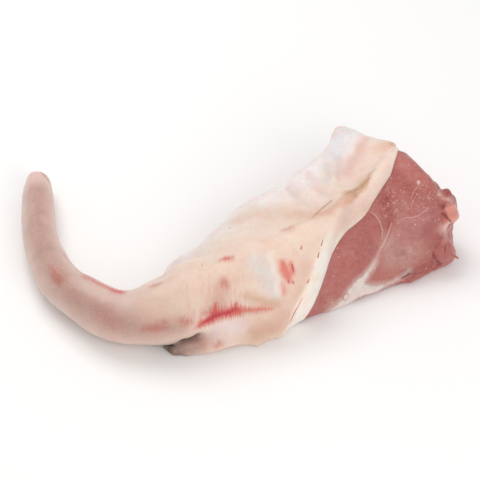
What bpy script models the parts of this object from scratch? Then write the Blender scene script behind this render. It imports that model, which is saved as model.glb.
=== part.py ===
"""A raw pork tail with its piece of rump, lying skin side up. Metres, +Z up, lying on z = 0.

The tail leaves the rump low on the left and curls away from the viewer. The rump's skin and its lean
are two lofts along X, between rails that run along their feet, cut edges, crest and crease. All the
pieces grow into one body, because they are one piece of meat. +X runs from the tail to the lean.
"""

import bmesh
import bpy
import numpy as np
from mathutils import Matrix, Vector

MM = 0.001

# Driving dimensions, in millimetres.
STATION_STEP = 3.0          # spacing of the rump's sections along X
SAMPLES_PER_SPAN = 4        # points between two neighbouring rails of a section
FLAP_THICKNESS = 9.0        # skin with its fat, where the far flap overhangs
FLAP_OVERHANG = 4.5         # how far the flap reaches out past the meat under it
LEAN_ARC = (2.0, 1.48)      # powers of the arc in which the lean rises from its foot
LEAN_SAMPLES = 24           # points on that arc
TAIL_SIDES = 28
TAIL_STEP = 3.0             # spacing of the tail's rings along its axis
SEAM_DEPTH = 2.2            # groove between two muscles
SEAM_WIDTH = 3.2            # half width of the groove
SWELL = 0.8                 # what the smoothing takes off is given back
VOXEL = 2.1                 # grid on which the pieces grow into one skin
TRIANGLES = 9800

# Rails of the skin as (x, y, z), each from the tail end to the lean end.
SKIN_FOOT = [(-56, 15, 0), (-50, 1, 0), (-44, -4, 0), (-36, -8.3, 0), (-27, -8.8, 0), (-18, -7.2, 0),
             (-8, -2.2, 0), (0, 0.8, 0), (6, -0.6, 0), (11.5, -2.5, 0), (16, 2.2, 0), (26.5, 7.1, 0),
             (32, 14.2, 0), (42.3, 23.1, 0), (60, 53, 0), (80, 75, 0), (102, 120, 0)]
FAT_INNER = [(-56, 15, 2), (-27, -8.6, 2), (6, -0.6, 2), (32, 14.4, 1.5), (42.5, 22.6, 1.5), (49, 28.5, 11.5),
             (53.3, 36, 22), (56.5, 46, 33), (60, 53, 38), (66.7, 61.5, 41.2), (82.2, 74, 45.5), (92.7, 91, 50),
             (101.4, 119.5, 51.5)]
FAT_OUTER = [(-56, 16, 4), (-27, -8, 5), (6, 0, 5), (18, 4, 3), (26.6, 7.6, 4), (36.8, 13.8, 25),
             (44.1, 20.2, 36), (47.9, 29.8, 42), (55.5, 47.9, 50), (65.5, 69.5, 54), (81.6, 83.7, 56),
             (91.9, 101, 57), (101.5, 121, 54)]
VALLEY = [(-56, 18, 6), (-40, -1, 7), (-27, -3, 10), (-17, 0, 17), (-3, 2.5, 22), (13, 4, 25), (26, 10, 31),
          (36, 19, 37), (48, 37, 47.5), (60, 61, 53), (84, 91, 56.5), (101.6, 122, 54)]
SHOULDER = [(-56, 20, 9), (-40, 4, 9), (-27, -4, 22), (-14, 2, 36), (5, 11, 40), (20, 19, 43), (34, 31, 47.5),
            (48, 46, 51.5), (62, 67, 54.5), (84, 93, 57.5), (101.7, 122.3, 54)]
CREST = [(-56, 24, 10), (-44, 14, 14), (-28, 16, 42), (-12, 23, 47.5), (6, 34, 49), (28, 46, 51),
         (48, 58, 52.5), (64, 73, 53.5), (85, 96, 57), (101.8, 122.5, 54)]
CREASE = [(-56, 27, 10.5), (-44, 32, 15), (-28, 36, 28), (-10, 46, 41), (14, 54, 46.5), (34, 61, 49),
          (50, 69, 49.5), (67, 82, 49), (86, 103, 52), (101.9, 123, 53.5)]
FAR_EDGE = [(-56, 32, 10), (-52, 39, 14), (-48.5, 47, 17.5), (-44.5, 54.5, 18.5), (-37, 58.5, 20.5), (-26, 63, 25.5),
            (-20, 69, 28.5), (-10, 79, 32.5), (4, 91, 37.5), (15.5, 95.5, 40.5), (33, 107, 44.5), (50, 124, 47.5),
            (57, 132.5, 48.5), (59.5, 143, 48.5), (62.5, 150.5, 47.5), (68, 150, 48.5), (75.5, 144.5, 49.5),
            (88.5, 132.5, 52.5), (95, 130, 54.5), (102, 125, 53)]
OVERHANG = [(-56, 0), (5, 0), (35, 1), (102, 1)]        # share of the flap's overhang along X

# Rails of the lean: its near foot, and the top of its arc, which the skin covers up to x = 101.
LEAN_FOOT = [(38, 19.5, 0), (42.3, 21.6, 0), (49, 25, 0), (61, 29.5, 0), (69, 34.6, 0), (84, 42, 0),
             (100, 50, 0), (108, 51.5, 0), (114, 55.5, 0), (124, 63, 0), (132, 67, 0), (137, 72, 0)]
LEAN_TOP = [(38, 32, 20), (44, 46, 32), (50, 57, 38), (60, 71, 44), (70, 84, 48), (80, 95, 51), (92, 105, 52.5),
            (97, 110, 53.5), (102, 114, 54), (107, 111, 53.5), (114, 100, 51), (122, 91.5, 47.5),
            (129, 86, 43.5), (137, 82, 37)]

# The tail's axis as (x, y, z, radius), from inside the rump to the tip.
TAIL_AXIS = [(8, 37, 23, 14), (-5, 29.5, 23.5, 18.5), (-16, 22.5, 24, 22), (-27, 17, 24.2, 23.2),
             (-36.5, 13, 23.4, 22.2), (-43.5, 10.6, 22.5, 21.2), (-50, 8.6, 20.8, 20), (-56, 7.4, 18.8, 18.6),
             (-63, 7.1, 17.4, 17.4), (-72, 8, 16.7, 16.7), (-80, 11.2, 16, 16), (-88, 15.9, 15.6, 15.6),
             (-98, 23.3, 14.9, 14.9), (-108, 32.8, 13.9, 13.9), (-117, 45.3, 13.6, 13.6),
             (-123, 60.4, 12.7, 12.7), (-128, 75.2, 12, 12), (-130.6, 90.3, 11.6, 11.6),
             (-132.2, 105.4, 11.3, 11.3), (-133.4, 119, 10.7, 10.7), (-134, 131.5, 10, 9.6)]

# Seams between the muscles of the lean's face, as (x, z) along each.
SEAMS = [
    [(82, 46), (86.5, 40), (89.5, 35), (88.5, 30), (86, 24.5), (82, 21), (78, 15.7), (73, 10.7), (66, 5)],
    [(78, 15.7), (83, 9), (94, 4.5), (99, 5), (106, 9), (115, 9), (124, 8)],
    [(126.5, 43), (129, 38), (129.5, 31), (128, 21), (125, 11), (124, 6)],
]

# Lumps at the cut end: centre, half sizes and turn about Z in degrees.
LUMPS = {
    "top": ((133.5, 91, 33), (6.5, 5.5, 7.5), 20),
    "middle": ((134.5, 84, 25), (5.8, 8, 8.5), 0),
    "lower": ((131.5, 71, 12), (7.5, 8.5, 12.5), -15),
}
SPIKE = ((134.5, 68, 12), (4.6, 1.8, 1.6), -10)


def smooth_path(points, where, column=0):
    """The path through the points at each value of one column, by a cubic that keeps the points' slopes."""
    points = np.array(points, float)
    knots = points[:, column]
    steps = np.diff(knots)
    slopes = np.diff(points, axis=0) / steps[:, None]
    tangents = np.empty_like(points)
    tangents[0], tangents[-1] = slopes[0], slopes[-1]
    weight = (steps[1:] / (steps[1:] + steps[:-1]))[:, None]
    mean = slopes[:-1] * weight + slopes[1:] * (1 - weight)
    tangents[1:-1] = np.where(slopes[:-1] * slopes[1:] > 0, mean, 0.35 * mean)
    where = np.clip(np.atleast_1d(np.asarray(where, float)), knots.min(), knots.max())
    i = np.clip(np.searchsorted(knots, where, side="right") - 1, 0, len(steps) - 1)
    h = steps[i][:, None]
    t = ((where - knots[i]) / steps[i])[:, None]
    return ((1 + 2 * t) * (1 - t) ** 2 * points[i] + t * (1 - t) ** 2 * h * tangents[i]
            + t * t * (3 - 2 * t) * points[i + 1] + t * t * (t - 1) * h * tangents[i + 1])


def read(rail, x):
    """The rail's remaining columns at x."""
    return smooth_path(rail, x)[0][1:]


def skin_section(x):
    """The (y, z) points round the skin's solid at x, from the near foot over the top to the far foot."""
    foot, inner, outer, valley, shoulder, crest, crease, edge = (
        read(rail, x) for rail in (SKIN_FOOT, FAT_INNER, FAT_OUTER, VALLEY, SHOULDER, CREST, CREASE, FAR_EDGE)
    )
    over = float(read(OVERHANG, x)[0])
    depth = min(FLAP_THICKNESS, edge[1] * 0.4)
    return np.array([
        foot,
        inner,
        outer,
        valley,
        shoulder,
        crest,
        crease,
        (crease + edge) / 2 + (0, 0.6),
        edge + (-3, 0.6),
        edge + (0, -2),
        edge + (0.6, -depth),
        edge + (-FLAP_OVERHANG * over, -depth * 1.3),
        (edge[0] + 1 - (FLAP_OVERHANG + 1) * over, edge[1] * 0.4),
        (edge[0] + 1 - (FLAP_OVERHANG + 1) * over, 0),
    ])


def lean_arc(x, shares):
    """The (y, z) points of the lean's face at x, at shares of its width from the foot."""
    foot, top = read(LEAN_FOOT, x), read(LEAN_TOP, x)
    outward, upward = LEAN_ARC
    y = foot[0] + (top[0] - foot[0]) * shares
    z = top[1] * (1 - (1 - shares) ** outward) ** (1 / upward)
    return np.column_stack([y, z])


def seam_points():
    """Points every millimetre or so along the seams, on the lean's face."""
    found = []
    for seam in SEAMS:
        for (x0, z0), (x1, z1) in zip(seam, seam[1:]):
            for t in np.linspace(0, 1, 8, endpoint=False):
                x, z = x0 + (x1 - x0) * t, z0 + (z1 - z0) * t
                arc = lean_arc(x, np.linspace(0, 1, 60) ** 2)
                found.append((x, np.interp(z, arc[:, 1], arc[:, 0]), z))
    return np.array(found)


def lean_section(x, seams):
    """The points round the lean's solid at x: an arc up from the foot, a rounded back and a far wall."""
    arc = lean_arc(x, np.linspace(0, 1, LEAN_SAMPLES) ** 1.6)
    along = np.gradient(arc, axis=0)
    inward = np.column_stack([along[:, 1], -along[:, 0]])
    inward /= np.linalg.norm(inward, axis=1, keepdims=True)
    places = np.column_stack([np.full(len(arc), x), arc])
    away = np.linalg.norm(places[:, None] - seams[None], axis=2).min(axis=1)
    arc = arc + inward * (SEAM_DEPTH * np.exp(-((away / SEAM_WIDTH) ** 2)))[:, None]
    arc[:, 1] = np.maximum(arc[:, 1], 0)
    top = read(LEAN_TOP, x)
    back = [(top[0] + out, top[1] * up) for out, up in ((5, 0.97), (9.5, 0.88), (11, 0.5), (9, 0))]
    return [(x, y, z) for y, z in np.vstack([arc, back])]


def refine(section):
    """The section with a smooth curve through its points, read at even shares of each span."""
    lengths = np.hypot(*np.diff(section, axis=0).T)
    knots = np.concatenate([[0], np.cumsum(np.maximum(lengths, 0.2))])
    path = np.column_stack([knots, section])
    where = np.concatenate([
        np.linspace(knots[i], knots[i + 1], SAMPLES_PER_SPAN, endpoint=False) for i in range(len(knots) - 1)
    ] + [[knots[-1]]])
    curve = smooth_path(path, where)[:, 1:]
    curve[:, 1] = np.maximum(curve[:, 1], 0)
    return curve


def loft(name, rings):
    """A closed solid through rings of as many points each, with a fan over each end."""
    mesh = bmesh.new()
    rows = [[mesh.verts.new(Vector(p) * MM) for p in ring] for ring in rings]
    count = len(rows[0])
    for a, b in zip(rows, rows[1:]):
        for i in range(count):
            j = (i + 1) % count
            mesh.faces.new((a[i], a[j], b[j], b[i]))
    for row, ring in ((rows[0], rings[0]), (rows[-1], rings[-1])):
        middle = mesh.verts.new(Vector(np.mean(ring, axis=0)) * MM)
        for i in range(count):
            mesh.faces.new((row[i], row[(i + 1) % count], middle))
    bmesh.ops.recalc_face_normals(mesh, faces=mesh.faces)
    return add_object(name, mesh)


def add_object(name, mesh):
    data = bpy.data.meshes.new(name)
    mesh.to_mesh(data)
    mesh.free()
    return bpy.data.objects.new(name, data)


def skin():
    stations = np.arange(SKIN_FOOT[0][0], SKIN_FOOT[-1][0] + 0.1, STATION_STEP)
    return loft("skin", [[(x, y, z) for y, z in refine(skin_section(x))] for x in stations])


def lean():
    stations = np.arange(LEAN_FOOT[0][0], LEAN_FOOT[-1][0] + 0.1, STATION_STEP * 0.6)
    seams = seam_points()
    return loft("lean", [lean_section(x, seams) for x in stations])


def tail():
    axis = np.array(TAIL_AXIS, float)
    run = np.concatenate([[0], np.cumsum(np.linalg.norm(np.diff(axis[:, :3], axis=0), axis=1))])
    path = np.column_stack([run, axis])
    where = np.arange(0, run[-1], TAIL_STEP)
    points = smooth_path(path, where)[:, 1:]
    tip, radius = axis[-1, :3], axis[-1, 3]
    ahead = (axis[-1, :3] - axis[-2, :3]) / np.linalg.norm(axis[-1, :3] - axis[-2, :3])
    dome = [np.append(tip + ahead * radius * np.sin(a), radius * np.cos(a)) for a in np.radians([0, 22, 42, 60, 75, 85])]
    points = np.vstack([points, dome])
    rings = []
    for i, (x, y, z, r) in enumerate(points):
        along = Vector(points[min(i + 1, len(points) - 1), :3] - points[max(i - 1, 0), :3]).normalized()
        side = along.cross(Vector((0, 0, 1))).normalized()
        up = side.cross(along)
        angles = np.linspace(0, 2 * np.pi, TAIL_SIDES, endpoint=False)
        r = r - SWELL * 0.7
        rings.append([Vector((x, y, z)) + side * r * np.cos(a) + up * r * np.sin(a) for a in angles])
    return loft("tail", rings)


def lump(name, centre, half, turn):
    mesh = bmesh.new()
    bmesh.ops.create_uvsphere(mesh, u_segments=20, v_segments=12, radius=1)
    place = Matrix.Translation(Vector(centre) * MM) @ Matrix.Rotation(np.radians(turn), 4, "Z")
    bmesh.ops.transform(mesh, matrix=place @ Matrix.Diagonal((*(Vector(half) * MM), 1)), verts=mesh.verts)
    return add_object(name, mesh)


def collection(name, objects, helpers=False):
    group = bpy.data.collections.new(name)
    bpy.context.scene.collection.children.link(group)
    for obj in objects:
        group.objects.link(obj)
        if helpers:
            obj.hide_render = True
            obj.display_type = "WIRE"
    return group


def apply(obj, kind, **settings):
    modifier = obj.modifiers.new(kind.title(), kind)
    for key, value in settings.items():
        setattr(modifier, key, value)
    with bpy.context.temp_override(object=obj, active_object=obj, selected_objects=[obj]):
        bpy.ops.object.modifier_apply(modifier=modifier.name)


def clear_scene():
    for obj in list(bpy.data.objects):
        bpy.data.objects.remove(obj)


def build():
    clear_scene()
    whole = skin()
    whole.name = "pork_tail"
    collection("pork tail", [whole])
    added = [tail(), lean()]
    added += [lump(name, *sizes) for name, sizes in LUMPS.items()]
    added += [lump("spike", *SPIKE)]
    joined = collection("joined pieces", added, helpers=True)
    apply(whole, "BOOLEAN", operation="UNION", operand_type="COLLECTION", collection=joined)
    for obj in added:
        bpy.data.objects.remove(obj)
    apply(whole, "REMESH", mode="VOXEL", voxel_size=VOXEL * MM)
    apply(whole, "SMOOTH", factor=0.5, iterations=3)
    apply(whole, "DISPLACE", strength=SWELL * MM, mid_level=0)
    ratio = TRIANGLES / (2 * len(whole.data.polygons))
    apply(whole, "DECIMATE", ratio=ratio, use_collapse_triangulate=True)
    return whole


def settle(obj):
    """Stands the piece on z = 0 with its box centred on the origin, and gives it its material."""
    corners = np.array([v.co for v in obj.data.vertices])
    low, high = corners.min(axis=0), corners.max(axis=0)
    shift = Vector(((low[0] + high[0]) / 2, (low[1] + high[1]) / 2, low[2]))
    obj.data.transform(Matrix.Translation(-shift))
    material = bpy.data.materials.new("pork skin")
    material.use_nodes = True
    shader = material.node_tree.nodes["Principled BSDF"]
    shader.inputs["Base Color"].default_value = (0.72, 0.49, 0.40, 1)
    shader.inputs["Roughness"].default_value = 0.45
    shader.inputs["Metallic"].default_value = 0.0
    obj.data.materials.append(material)
    obj.data.shade_smooth()
    print("box", [round(float(v) / MM, 2) for v in high - low], "shift", [round(v / MM, 2) for v in shift])


settle(build())
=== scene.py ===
# A raw pork tail with its piece of rump, skin side up on a pale table.
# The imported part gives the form. One piece is its rind with the cut fat, the other its lean with the far
# cut wall and the lumps at the cut end. All lengths are millimetres until they go into a mesh.
import bpy
import math
import numpy as np
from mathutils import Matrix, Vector


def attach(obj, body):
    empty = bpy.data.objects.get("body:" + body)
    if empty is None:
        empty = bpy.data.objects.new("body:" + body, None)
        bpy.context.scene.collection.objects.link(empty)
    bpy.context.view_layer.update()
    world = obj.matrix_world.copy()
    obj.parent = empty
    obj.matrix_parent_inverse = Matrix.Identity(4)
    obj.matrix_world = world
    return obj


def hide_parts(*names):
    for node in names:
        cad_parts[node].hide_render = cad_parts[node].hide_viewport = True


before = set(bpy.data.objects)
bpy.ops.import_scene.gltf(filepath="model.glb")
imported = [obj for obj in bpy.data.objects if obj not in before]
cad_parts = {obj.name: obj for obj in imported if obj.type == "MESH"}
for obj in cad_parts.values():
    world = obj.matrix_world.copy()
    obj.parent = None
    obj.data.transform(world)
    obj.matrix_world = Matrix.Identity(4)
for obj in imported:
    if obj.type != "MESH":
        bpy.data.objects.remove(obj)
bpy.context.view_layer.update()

mm = 0.001


# handling of meshes

def pickOnly(*objs):
    bpy.ops.object.select_all(action="DESELECT")
    for obj in objs:
        obj.select_set(True)
    bpy.context.view_layer.objects.active = objs[0]


def startEdit(obj):
    pickOnly(obj)
    bpy.ops.object.mode_set(mode="EDIT")
    bpy.ops.mesh.select_all(action="SELECT")


def endEdit():
    bpy.ops.object.mode_set(mode="OBJECT")


def applyModifier(obj, kind, **settings):
    modifier = obj.modifiers.new(kind.lower(), kind)
    for name, value in settings.items():
        setattr(modifier, name, value)
    pickOnly(obj)
    bpy.ops.object.modifier_apply(modifier=modifier.name)


def copyOf(obj, name):
    made = bpy.data.objects.new(name, obj.data.copy())
    made.data.name = name
    bpy.context.scene.collection.objects.link(made)
    return made


def readPoints(obj):
    flat = np.empty(len(obj.data.vertices) * 3)
    obj.data.vertices.foreach_get("co", flat)
    return flat.reshape(-1, 3) / mm


def readNormals(obj):
    flat = np.empty(len(obj.data.vertices) * 3)
    obj.data.vertices.foreach_get("normal", flat)
    return flat.reshape(-1, 3)


def writePoints(obj, points):
    obj.data.vertices.foreach_set("co", (points * mm).ravel())
    obj.data.update()


def paint(obj, name, values):  # a value or a vector kept on each point, for the materials to read
    values = np.asarray(values, np.float32)
    single = values.ndim == 1
    layer = obj.data.attributes.new(name, "FLOAT" if single else "FLOAT_VECTOR", "POINT")
    layer.data.foreach_set("value" if single else "vector", values.ravel())


# fields over the surface

def ease(low, high, values):  # 0 at low, 1 at high, with a soft start and end
    share = np.clip((values - low) / (high - low), 0, 1)
    return share * share * (3 - 2 * share)


def softNoise(points, size, seed):  # smooth chance values from -1 to 1, with lumps `size` mm across
    lattice = np.random.default_rng(seed).uniform(-1, 1, (32, 32, 32))
    place = points / size + 100.37
    cell = np.floor(place).astype(int)
    part = place - cell
    part = part * part * (3 - 2 * part)
    total = np.zeros(len(points))
    for corner in np.ndindex(2, 2, 2):
        weight = np.prod(np.where(corner, part, 1 - part), axis=1)
        i, j, k = ((cell + corner) % 32).T
        total += weight * lattice[i, j, k]
    return total


def nearPath(points, path, normals=None):
    # distance to the path, how far along it the nearest place is, and the distance with a sign for the side
    path = np.array(path, float)[:, :3]
    away = np.full(len(points), 1e9)
    run = np.zeros(len(points))
    side = np.ones(len(points))
    past = 0.0
    for start, end in zip(path, path[1:]):
        step = end - start
        length = np.linalg.norm(step)
        share = np.clip((points - start) @ step / length ** 2, 0, 1)
        gap = points - start - share[:, None] * step
        here = np.linalg.norm(gap, axis=1)
        nearer = here < away
        away[nearer] = here[nearer]
        run[nearer] = past + share[nearer] * length
        if normals is not None:
            turned = np.einsum("ij,ij->i", np.cross(step, normals), gap)
            side[nearer] = np.where(turned < 0, -1, 1)[nearer]
        past += length
    return away, run, away * side


def nearChain(points, chain):  # distance to a chain of spots (x, y, z, radius), and its radius there
    chain = np.array(chain, float)
    if len(chain) == 1:
        return np.linalg.norm(points - chain[0, :3], axis=1), np.full(len(points), chain[0, 3])
    away, run, _ = nearPath(points, chain)
    knots = np.concatenate([[0], np.cumsum(np.linalg.norm(np.diff(chain[:, :3], axis=0), axis=1))])
    return away, np.interp(run, knots, chain[:, 3])


def onSurface(obj, chains):  # chains of spots, each spot moved to the nearest place on the piece
    laid = []
    for chain in chains:
        places = [obj.closest_point_on_mesh(Vector(spot[:3]) * mm)[1] / mm for spot in chain]
        laid.append([(*place, spot[3]) for place, spot in zip(places, chain)])
    return laid


def outside(points, chains):  # distance outside chains of spots, below 0 inside them
    return np.min([np.subtract(*nearChain(points, chain)) for chain in chains], axis=0)


def washOver(points, base, washes):  # soft washes of colour over a base
    color = np.tile(linear(base)[:3], (len(points), 1))
    for chain, tint, strength in washes:
        away, radius = nearChain(points, chain)
        share = strength * np.exp(-((away / radius) ** 2))
        color += share[:, None] * (np.array(linear(tint)[:3]) - color)
    return color


def nearStroke(points, normals, strokes):
    # across and past the ends of the nearest thin line (x, y, z, half width), as shares of that half width
    best = np.full(len(points), 1e9)
    found = np.tile((9.0, 9.0, 0.0), (len(points), 1))
    for stroke in strokes:
        for start, end in zip(np.array(stroke, float), np.array(stroke, float)[1:]):
            step = end[:3] - start[:3]
            length = np.linalg.norm(step)
            share = np.clip((points - start[:3]) @ step / length ** 2, 0, 1)
            gap = points - start[:3] - share[:, None] * step
            half = start[3] + (end[3] - start[3]) * share
            past = gap @ step / length
            across = np.linalg.norm(gap - past[:, None] * step / length, axis=1)
            across *= np.where(np.einsum("ij,ij->i", np.cross(step, normals), gap) < 0, -1, 1)
            here = np.hypot(across, past) / half
            nearer = here < best
            best[nearer] = here[nearer]
            found[nearer, 0], found[nearer, 1] = (across / half)[nearer], (past / half)[nearer]
    found = np.clip(found, -9, 9)
    found[:, 2] = np.clip(2 * best - 8, 0, 9)  # away from the lines, where the first two may change sign
    return found


def groove(away, depth, width):
    return -depth * np.exp(-((away / width) ** 2))


def lobe(points, center, reach):
    return np.exp(-(np.linalg.norm(points - np.array(center), axis=1) / reach) ** 2)


def inPlan(points, outline):  # whether a point lies over an outline, seen from above
    x, y = points[:, 0], points[:, 1]
    inside = np.zeros(len(points), bool)
    for (x0, y0), (x1, y1) in zip(outline, outline[1:] + outline[:1]):
        if y0 != y1:
            inside ^= ((y0 > y) != (y1 > y)) & (x < x0 + (x1 - x0) * (y - y0) / (y1 - y0))
    return inside


def linear(color):  # "#rrggbb" as seen on a screen, turned to the linear colour that the nodes hold
    parts = [int(color[i:i + 2], 16) / 255 for i in (1, 3, 5)]
    return [p / 12.92 if p <= 0.04045 else ((p + 0.055) / 1.055) ** 2.4 for p in parts] + [1.0]


# the form that all pieces share

bodyForm = {
    "weld": 0.01,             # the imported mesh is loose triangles
    "grid": 0.8,              # size of the new mesh's faces
    "smoothings": 30,
    "givenBack": 0.25,        # what the smoothing takes off
    "tailSlimmed": 1.6,       # on the outer side of its bend
    "rimDrawnIn": 1.2,        # the far flap's edge
    "rimRagged": 0.6,         # how much that varies
}
# where the outline is pushed out or in, until it is the photograph's: place, reach, push
nudges = [
    ((-49, -48, 41), 9, -4),      # the corner between the tail and the far flap
    ((-66, -52, 34), 10, -1.2),
    ((-40, -77, 1), 9, 3.5),      # the shaded end of the near flap
    ((-3, -76, 2), 9, -1),
    ((18, -73, 8), 9, 1.2),
    ((30, -66, 10), 8, 1.8),
    ((60, 68, 49), 7, -1.6),      # the far flap's corner
    ((66, 81, 49), 6, 0.8),
    ((92, 63, 53), 9, 0.8),
    ((103, 55, 54), 5, 0.8),
    ((140, 1.5, 27), 6, -5),      # between the lumps at the cut end
    ((141, 8, 20), 9, -5.5),
    ((138.5, 3.5, 28), 4, -4.5),
    ((141, 20, 37), 6, -2.5),
    ((141.5, -4, 15), 8, -1.2),
    ((138, -9, 6), 6, -1.5),
    ((113, 34, 52), 8, 0.9),      # the lean's far edge
    ((121, 27, 48), 8, 1.2),
]


def makeForm():
    form = copyOf(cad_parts["pork_tail"], "form")
    startEdit(form)
    bpy.ops.mesh.remove_doubles(threshold=bodyForm["weld"] * mm)
    endEdit()
    applyModifier(form, "REMESH", mode="VOXEL", voxel_size=bodyForm["grid"] * mm)
    flat = readPoints(form)[:, 2] < 0.4  # what lies on the table stays there
    applyModifier(form, "SMOOTH", factor=0.5, iterations=bodyForm["smoothings"])
    points = readPoints(form) + readNormals(form) * bodyForm["givenBack"]
    points[:, 2] = np.where(flat, np.maximum(points[:, 2] - 0.5, 0), np.maximum(points[:, 2], 0))
    writePoints(form, points)
    fitOutline(form)
    print("form:", len(form.data.vertices), "points")
    return form


# where the cut fat meets the lean: from the table up to the far tip, then back along the far wall
fatToLean = [(38, -53, -4), (43, -52, 3.5), (48.5, -50, 14.5), (52.5, -44, 22), (55.5, -38.5, 29),
             (57.5, -31, 34.5), (61.5, -21.5, 38.5), (67, -13, 41.5), (75, -6.5, 43.5), (84.5, 3, 46.5),
             (92.5, 14.5, 51), (98, 29, 55), (101, 41, 56), (104, 51, 54), (103, 57, 45), (90, 59, 41),
             (77, 70, 38), (67, 75, 37), (61, 68, 37), (50, 49, 36), (34, 32, 33), (17, 20, 29),
             (4, 14, 26), (-9, 4, 21), (-19, -5, 16), (-31, -15, 10), (-42, -25, 4), (-47, -30, -4)]
# where the skin's edge meets the cut fat
skinEdge = [(25, -66, -2), (29.5, -64, 11), (33.5, -60.5, 21), (38.5, -56.5, 30), (43.5, -50, 38.5),
            (47, -42, 44.5), (51, -32.5, 49.5), (55.5, -22.5, 52.5), (60.5, -12.5, 54), (70.5, 0.5, 53.5),
            (80, 10, 57), (86.5, 26, 58), (92, 40, 57), (100, 51, 55.5), (104, 60, 50)]
# the rim of the far flap
farEdge = [(-54.5, -38.5, 11), (-47, -23.5, 18.5), (-35.5, -12, 21.5), (-18.5, -1.5, 29.5),
           (-8.5, 8.5, 33.5), (5.5, 20.5, 38.5), (17, 25, 41.5), (34.5, 36.5, 45.5), (51.5, 53.5, 48.5),
           (58.5, 62, 49.5), (61, 72.5, 49.5), (64, 80, 48.5), (69.5, 79.5, 49.5), (77, 74, 50.5),
           (90, 62, 53.5), (96.5, 59.5, 55.5), (103.5, 54.5, 54)]
tailAxis = [(9.5, -33.5, 24), (-3.5, -41, 24.5), (-14.5, -48, 25), (-25.5, -53.5, 25), (-42, -60, 23.5),
            (-54.5, -63, 19.5), (-70.5, -62.5, 17.5), (-86.5, -54.5, 16.5), (-96.5, -47, 16),
            (-106.5, -37.5, 15), (-115.5, -25, 14.5), (-121.5, -10, 13.5), (-126.5, 5, 13),
            (-129, 20, 12.5), (-130.5, 35, 12), (-132.5, 61, 11)]


def fitOutline(form):
    points, normals = readPoints(form), readNormals(form)
    push = sum(amount * lobe(points, place, reach) for place, reach, amount in nudges)
    slimmed = bodyForm["tailSlimmed"] * ease(0.1, 0.8, normals @ (-0.9, -0.4, 0))
    push -= slimmed * ease(-88, -112, points[:, 0])
    drawnIn = bodyForm["rimDrawnIn"] + bodyForm["rimRagged"] * softNoise(points, 8, 6)
    push -= drawnIn * ease(9, 2, nearPath(points, farEdge)[0])
    writePoints(form, settle(points, normals, push))


def layOn(form, path, step):  # the path in steps of about that length, each point on the form's surface
    laid = []
    path = np.array(path, float)
    for start, end in zip(path, path[1:]):
        count = max(1, round(np.linalg.norm(end - start) / step))
        for share in np.arange(count) / count:
            point = start + (end - start) * share
            if point[2] > 1:
                point = np.array(form.closest_point_on_mesh(Vector(point) * mm)[1]) / mm
            laid.append(point)
    laid = np.vstack([laid, path[-1]])
    for _ in range(2):
        laid[1:-1] = (laid[:-2] + 2 * laid[1:-1] + laid[2:]) / 4
    return laid


def sideOf(points, normals, path):  # distance along the surface to a line, above 0 to its left as it runs
    return -nearPath(points, path, normals)[2]


def settle(points, normals, push):  # moves the points along their normals, none below the table
    moved = points + normals * push[:, None]
    moved[:, 2] = np.maximum(moved[:, 2], 0)
    under = (points[:, 2] < 0.3) & (push > 0)
    moved[under] = points[under]
    return moved


# what is cut off the lean, in plan: the tail, the near flap and the top of the rump
keptSkin = [(15, -95), (90, 34), (66, 56), (-36, -36), (-55, -30), (-62, 100), (-170, 100), (-170, -95)]
# what is cut off the rind: all the meat on this side of an upright plane
leanCut = {"place": (85, 6, 40), "facing": (0.852, -0.523, 0)}
# on the underside the rind ends along this line
underEdge = [(-62, -22, 0), (-47, -30, 0), (-10, -42, 0), (37, -53, 0), (60, -62, 0)]


# rind and cut fat

skinForm = {
    "color": "#ecd5c5",       # of the rind, under its washes
    "fatColor": "#f3e0d3",    # of the cut fat
    "unevenness": 0.35,       # slow lumps all over
    "bumps": 0.14,            # smaller ones
    "tailBumps": 0.25,        # added on the tail
    "valley": 0.3,            # the crease behind the skin's ridge
    "wrinkles": 0.3,          # across the root of the tail
    "foldDepth": 0.6,         # of the far flap
    "streakDepth": 0.8,       # of the fold under the blood streak
    "creviceDepth": 3,        # between the tail and the near flap
    "edgeLip": 0.45,          # the skin curls up a little along its cut edge
    "tucked": 2.2,            # past the fat's inner edge the piece goes on under the lean
    "washRagged": 1.6,        # how far the edges of the colours wander
    "triangles": 190000,
}

crease = [(89, 29, 58), (82, 18, 58.5), (76, 14, 56.5), (68.5, 12, 51), (63.5, 12.5, 50),
          (58, -0.5, 52.5), (51.5, -8.5, 53.5), (46.5, -13, 53.5), (39, -16, 53), (32.5, -21, 52.5),
          (26.5, -24, 52), (15, -28, 51)]
crevice = [(-50, -68, 1), (-46, -70, 1.5), (-40.5, -71.5, 3), (-33.5, -75, 9), (-27, -75, 11),
           (-23, -75, 13.5)]
flapFolds = [
    [(81.5, 55.5, 54), (79, 49, 52.5), (75, 40.5, 51.5), (70.5, 32, 50.5)],
    [(66.5, 43.5, 51), (66.5, 36.5, 50), (65, 29.5, 50)],
    [(58, 36, 51.5), (59.5, 29.5, 51), (55.5, 23, 51)],
    [(45.5, 29.5, 50.5), (48, 23.5, 50.5), (52.5, 16, 50.5), (56.5, 12, 50.5)],
    [(33, 21, 48.5), (36.5, 12, 49.5), (40.5, 6, 50)],
    [(17, 8, 45), (20, -4, 47)],
]
hollowEdge = [(19, -41.5, 50), (20.5, -50, 46), (24.5, -61.5, 33)]
streakFold = [(-22, -77, 24.5), (-14, -73, 28), (-5.5, -69, 26.5), (3, -67.5, 26.5), (16.5, -66, 26.5)]

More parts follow.
